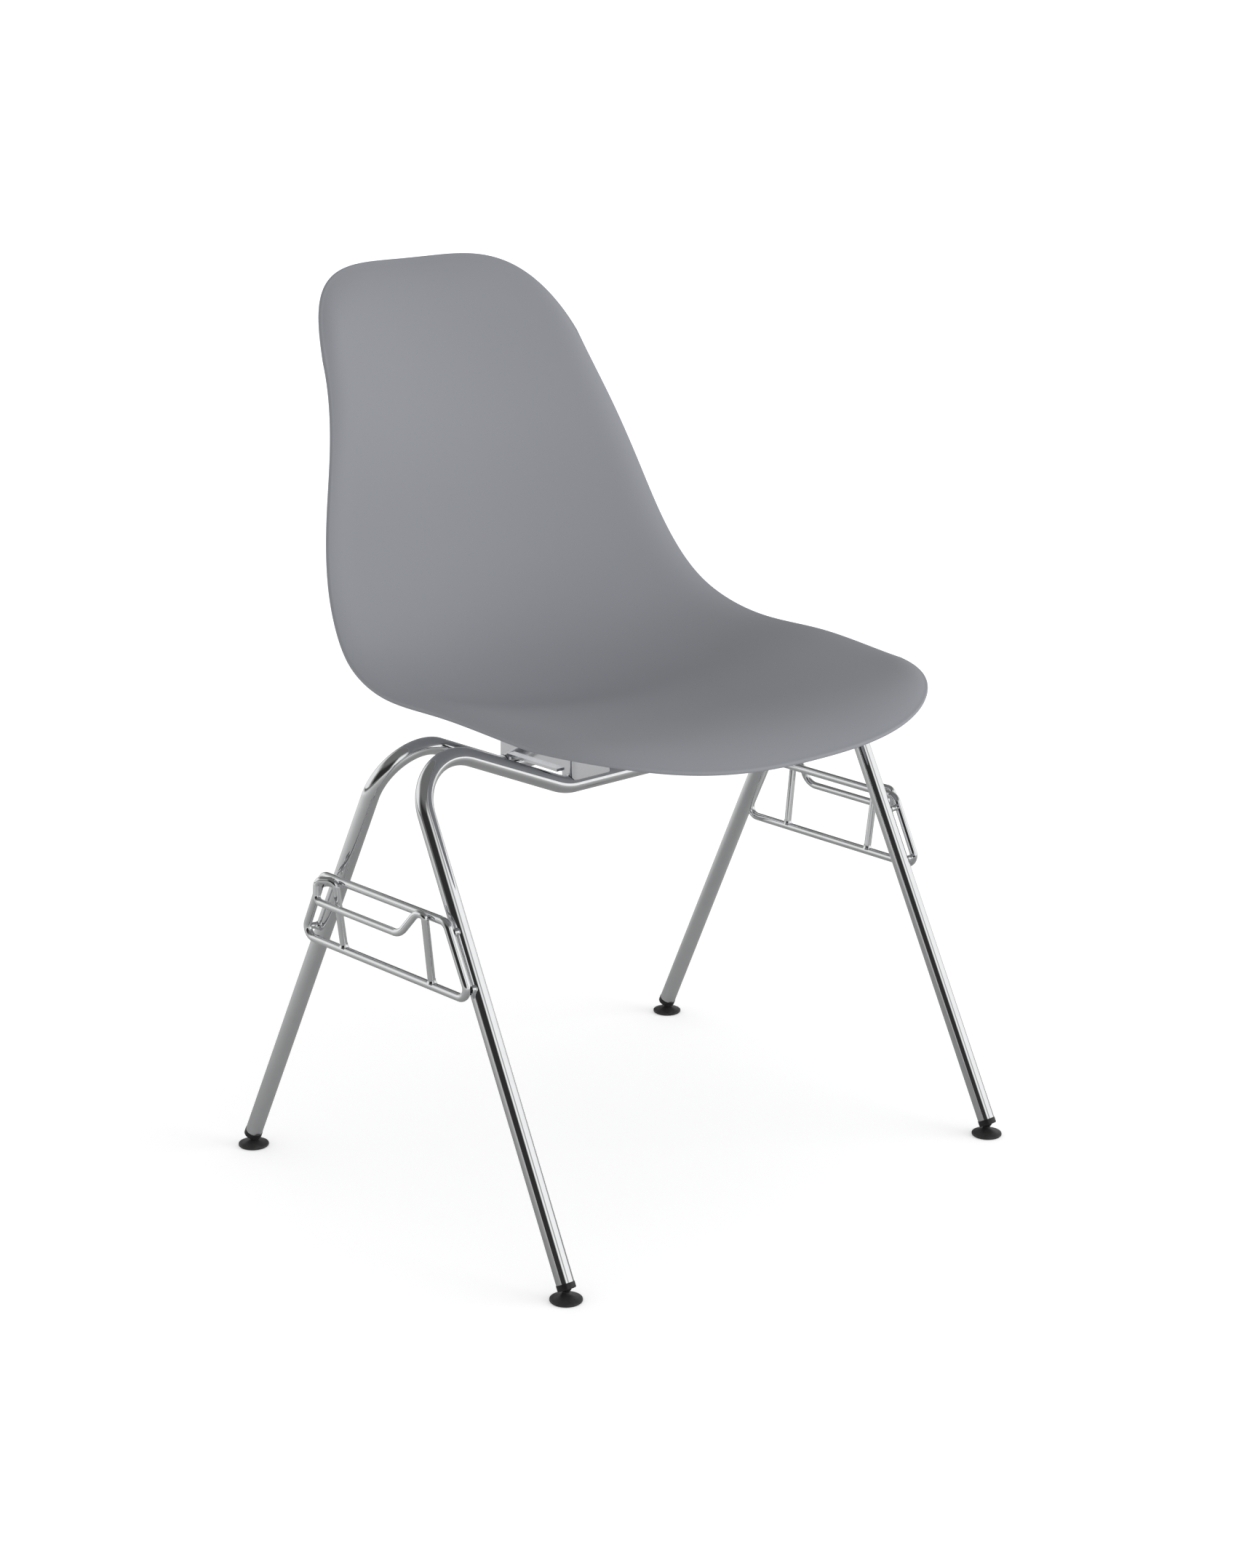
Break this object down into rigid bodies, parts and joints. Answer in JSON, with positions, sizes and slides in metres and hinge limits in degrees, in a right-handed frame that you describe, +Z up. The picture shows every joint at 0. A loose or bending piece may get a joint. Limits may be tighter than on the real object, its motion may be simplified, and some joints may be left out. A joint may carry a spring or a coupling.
{
  "type": "shell chair",
  "caption": "One-piece moulded plastic bucket seat on bent chrome tube legs with side ganging loops and hooks, on swivel glides.",
  "frame": {"origin": "on the floor, under the middle of the chair's overall footprint", "axes": "+Z up, the sitter faces -Y, +X is to the right in a view from the front"},
  "size_m": [0.5958, 0.5536, 0.8053],
  "materials": {
    "shell_plastic": "satin blue-grey moulded polypropylene",
    "chrome_tube": "bright chrome plate",
    "chrome_rod": "bright chrome plate",
    "bracket_steel": "plated pressed steel",
    "glide_plastic": "semi-gloss black nylon",
    "mount_rubber": "matt black rubber",
    "screw_steel": "zinc plated",
    "insert_brass": "knurled brass"
  },
  "bodies": {
    "chair": {"seat_shell": "shell_plastic", "front_leg_tube": "chrome_tube", "rear_leg_tube": "chrome_tube", "bracket_left": "bracket_steel", "gang_loop_left": "chrome_rod", "gang_hook_left": "chrome_rod", "glide_plug_front_left": "glide_plastic", "rubber_mount_front_left": "mount_rubber", "glide_plug_rear_left": "glide_plastic", "rubber_mount_rear_left": "mount_rubber", "bracket_right": "bracket_steel", "gang_loop_right": "chrome_rod", "gang_hook_right": "chrome_rod", "glide_plug_front_right": "glide_plastic", "rubber_mount_front_right": "mount_rubber", "glide_plug_rear_right": "glide_plastic", "rubber_mount_rear_right": "mount_rubber", "mount_screws": "screw_steel", "mount_washers": "screw_steel", "threaded_inserts": "insert_brass"},
    "foot_front_left": {"glide_foot_front_left": "glide_plastic"},
    "foot_rear_left": {"glide_foot_rear_left": "glide_plastic"},
    "foot_front_right": {"glide_foot_front_right": "glide_plastic"},
    "foot_rear_right": {"glide_foot_rear_right": "glide_plastic"}
  },
  "joints": [
    {"name": "glide_tilt_front_left", "type": "hinge", "parent": "chair", "child": "foot_front_left", "pos_m": [-0.26867, -0.25387, 0.013], "axis": [1, 0, 0], "range_deg": [-56, 3]},
    {"name": "glide_tilt_rear_left", "type": "hinge", "parent": "chair", "child": "foot_rear_left", "pos_m": [-0.26837, 0.19156, 0.013], "axis": [1, 0, 0], "range_deg": [-3, 55]},
    {"name": "glide_tilt_front_right", "type": "hinge", "parent": "chair", "child": "foot_front_right", "pos_m": [0.26867, -0.25387, 0.013], "axis": [1, 0, 0], "range_deg": [-56, 3]},
    {"name": "glide_tilt_rear_right", "type": "hinge", "parent": "chair", "child": "foot_rear_right", "pos_m": [0.26837, 0.19156, 0.013], "axis": [1, 0, 0], "range_deg": [-3, 55]}
  ]
}
